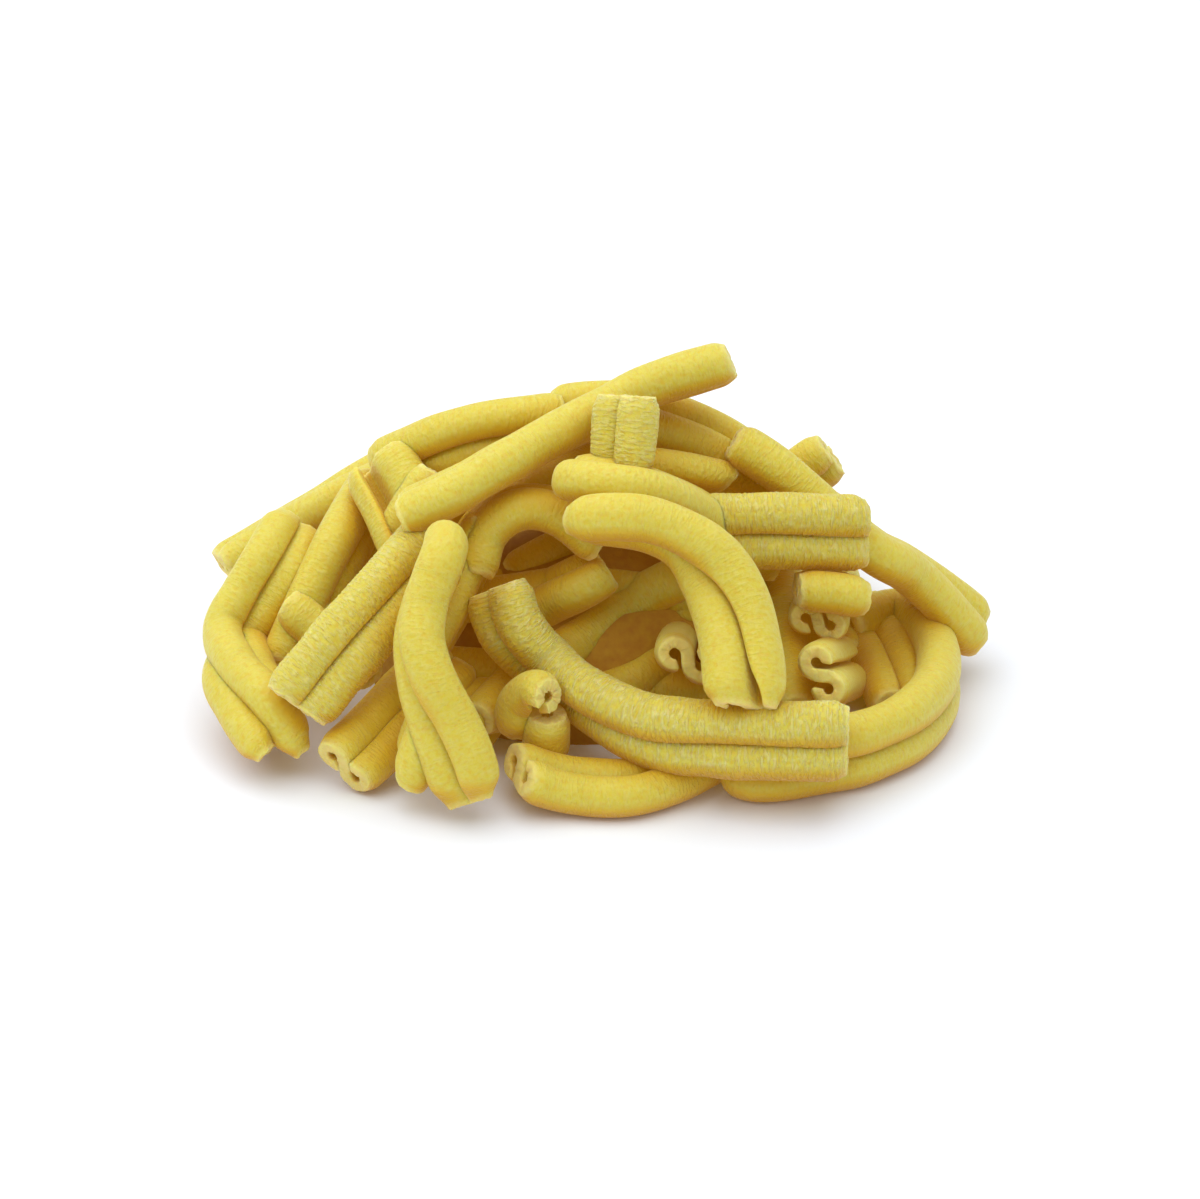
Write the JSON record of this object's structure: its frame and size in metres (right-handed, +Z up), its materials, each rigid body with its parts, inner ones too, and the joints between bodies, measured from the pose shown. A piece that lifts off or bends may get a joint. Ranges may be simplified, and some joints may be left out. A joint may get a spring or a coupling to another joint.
{
  "type": "caserecce",
  "caption": "Loose heap of dry caserecce pasta: short yellow strands rolled to an S section, lying as they fell on a flat table.",
  "frame": {"origin": "middle of the heap's box, on the table", "axes": "+Z up from the table, +X to the right along the heap's longer side, seen from -Y"},
  "size_m": [0.1034, 0.0859, 0.047],
  "materials": {
    "pasta": "matt dry pasta, slightly translucent, with a fine rough grain"
  },
  "bodies": {
    "root": {"caserecce_heap": "pasta"}
  },
  "joints": []
}
